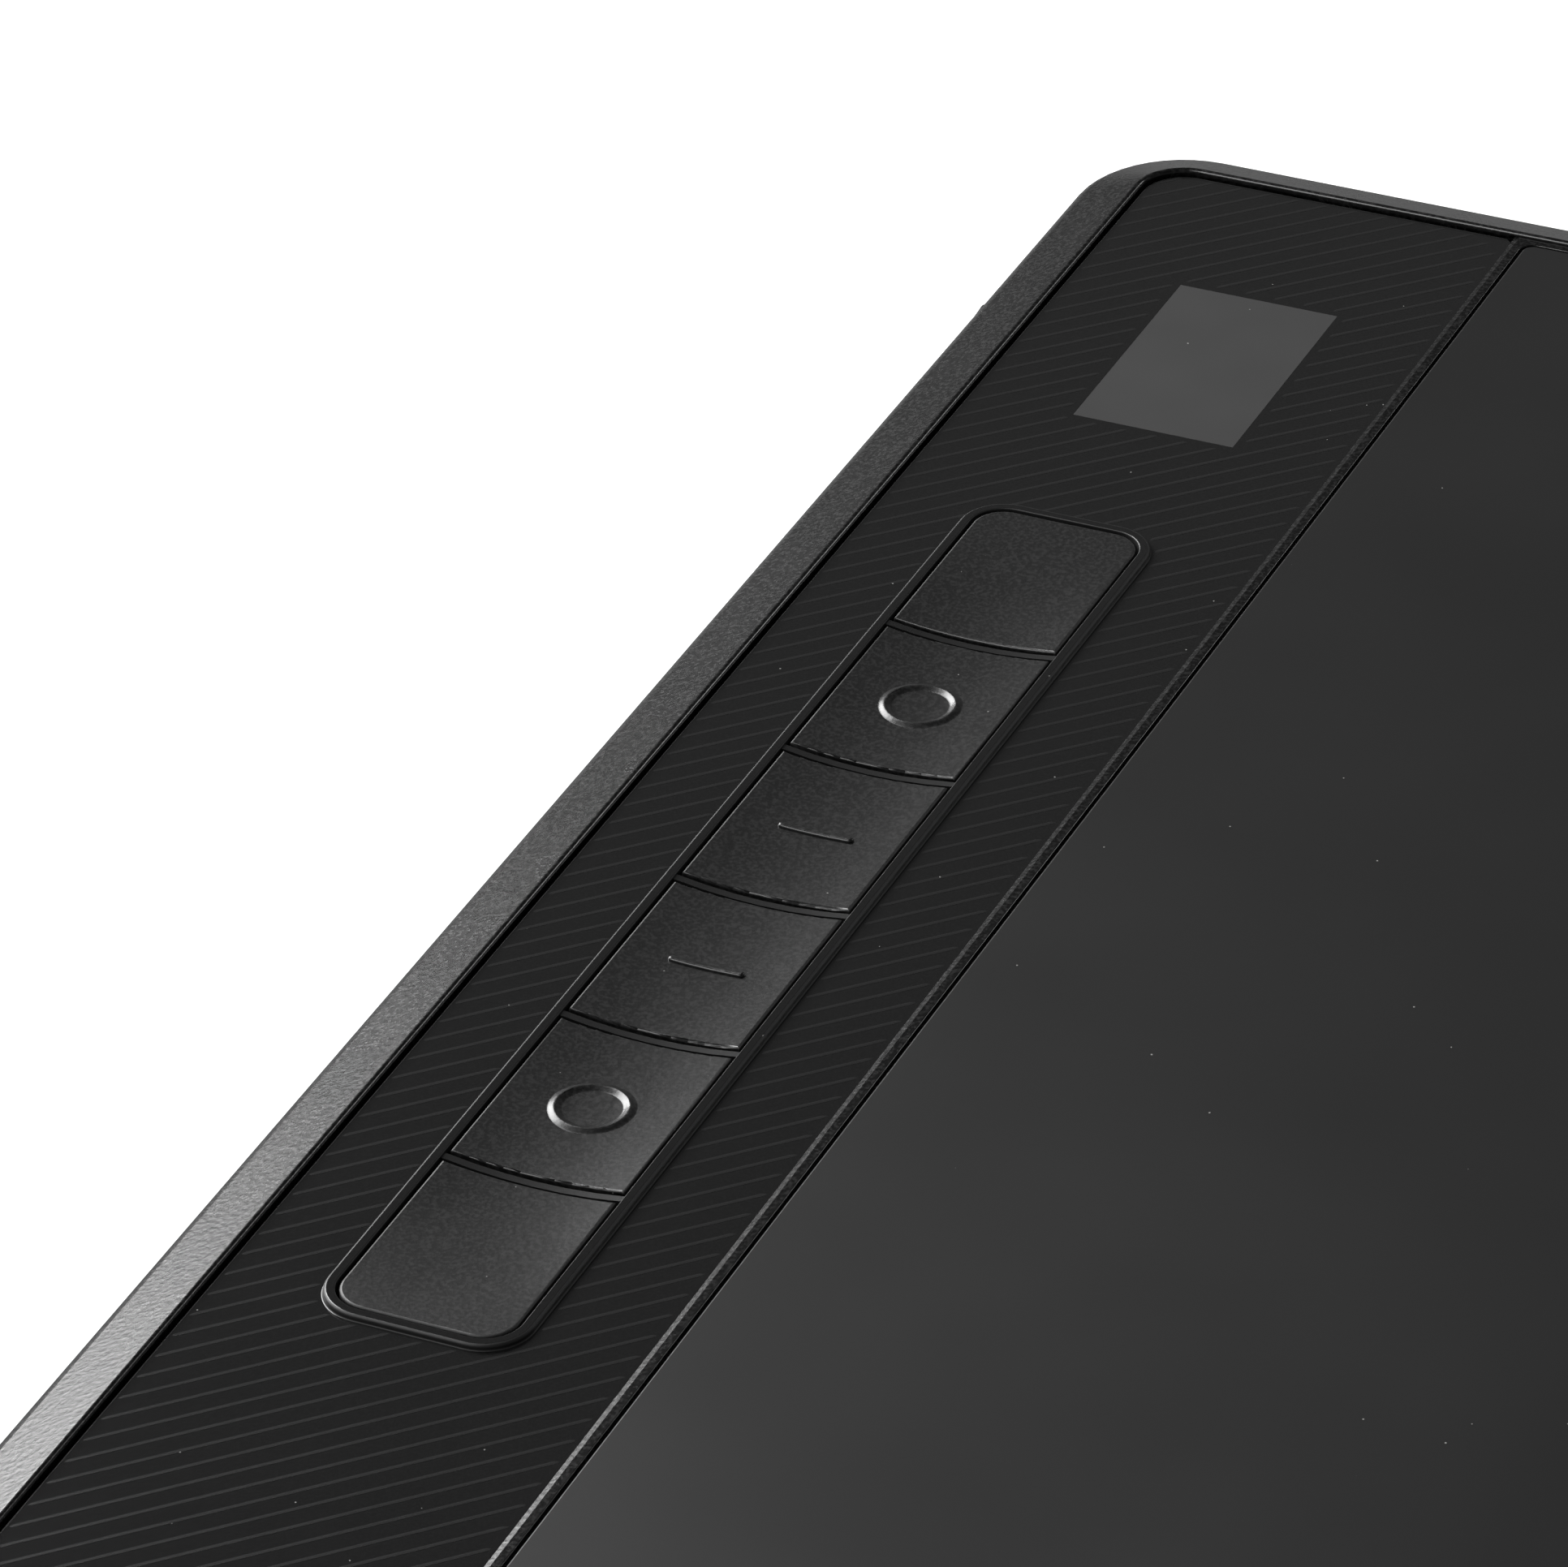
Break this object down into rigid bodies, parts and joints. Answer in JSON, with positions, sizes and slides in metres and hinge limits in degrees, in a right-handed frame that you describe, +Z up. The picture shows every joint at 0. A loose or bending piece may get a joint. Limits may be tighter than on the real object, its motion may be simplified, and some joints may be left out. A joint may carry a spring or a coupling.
{
  "type": "graphics tablet",
  "caption": "Flat pen tablet with a sloping border, an inset drawing sheet, and a side panel whose raised rim holds a column of dished, sprung express keys.",
  "frame": {"origin": "middle of the tablet's plan, on the surface that its rubber feet stand on", "axes": "+X along the long side to the user's right, +Y away from the user, +Z up"},
  "size_m": [0.3548, 0.223, 0.0091],
  "materials": {
    "casing_plastic": "fine moulded texture, soft satin",
    "panel_plastic": "fine diagonal stripes, satin",
    "key_plastic": "fine moulded texture",
    "knob_plastic": "moulded",
    "badge": "plain matte",
    "sheet": "fine paper-like tooth",
    "adhesive": "thin layer",
    "circuit_board": "glass-fibre board with solder mask",
    "shield": "rolled foil sheet",
    "foam": "closed-cell foam",
    "chip": "moulded epoxy",
    "switch_body": "stamped cover",
    "switch_button": "moulded",
    "socket_metal": "drawn, plated",
    "insulator": "moulded",
    "cell": "laminated pouch",
    "lead_jacket": "insulated wire",
    "flat_cable": "polyimide film",
    "foot_rubber": "soft, matte",
    "screw_steel": "dark plated"
  },
  "bodies": {
    "root": {"top_shell": "casing_plastic", "bottom_shell": "casing_plastic", "side_panel": "panel_plastic", "badge_plate": "badge", "drawing_sheet": "sheet", "panel_tape": "adhesive", "sheet_adhesive": "adhesive", "sensor_board": "circuit_board", "key_board": "circuit_board", "main_board": "circuit_board", "shield_sheet": "shield", "foam_pad": "foam", "board_chips": "chip", "tact_switches": "switch_body", "power_switch": "switch_body", "cable_socket": "socket_metal", "socket_tongue": "insulator", "lead_plug": "insulator", "battery": "cell", "battery_leads": "lead_jacket", "key_flex": "flat_cable", "sensor_flex": "flat_cable", "rubber_feet": "foot_rubber", "case_screws": "screw_steel", "board_screws": "screw_steel"},
    "key_1": {"key_1": "key_plastic", "switch_button_1": "switch_button"},
    "key_2": {"key_2": "key_plastic", "switch_button_2": "switch_button"},
    "key_3": {"key_3": "key_plastic", "switch_button_3": "switch_button"},
    "key_4": {"key_4": "key_plastic", "switch_button_4": "switch_button"},
    "key_5": {"key_5": "key_plastic", "switch_button_5": "switch_button"},
    "key_6": {"key_6": "key_plastic", "switch_button_6": "switch_button"},
    "power_knob": {"power_knob": "knob_plastic", "switch_lever": "switch_button"}
  },
  "joints": [
    {"name": "key_1_press", "type": "slide", "parent": "root", "child": "key_1", "axis": [0, 0, -1], "range_m": [0, 0.0005], "stiffness_N_per_m": 2400, "springref_m": -0.0001},
    {"name": "key_2_press", "type": "slide", "parent": "root", "child": "key_2", "axis": [0, 0, -1], "range_m": [0, 0.0005], "stiffness_N_per_m": 2400, "springref_m": -0.0001},
    {"name": "key_3_press", "type": "slide", "parent": "root", "child": "key_3", "axis": [0, 0, -1], "range_m": [0, 0.0005], "stiffness_N_per_m": 2400, "springref_m": -0.0001},
    {"name": "key_4_press", "type": "slide", "parent": "root", "child": "key_4", "axis": [0, 0, -1], "range_m": [0, 0.0005], "stiffness_N_per_m": 2400, "springref_m": -0.0001},
    {"name": "key_5_press", "type": "slide", "parent": "root", "child": "key_5", "axis": [0, 0, -1], "range_m": [0, 0.0005], "stiffness_N_per_m": 2400, "springref_m": -0.0001},
    {"name": "key_6_press", "type": "slide", "parent": "root", "child": "key_6", "axis": [0, 0, -1], "range_m": [0, 0.0005], "stiffness_N_per_m": 2400, "springref_m": -0.0001},
    {"name": "power_slide", "type": "slide", "parent": "root", "child": "power_knob", "axis": [0, -1, 0], "range_m": [0, 0.002]}
  ]
}
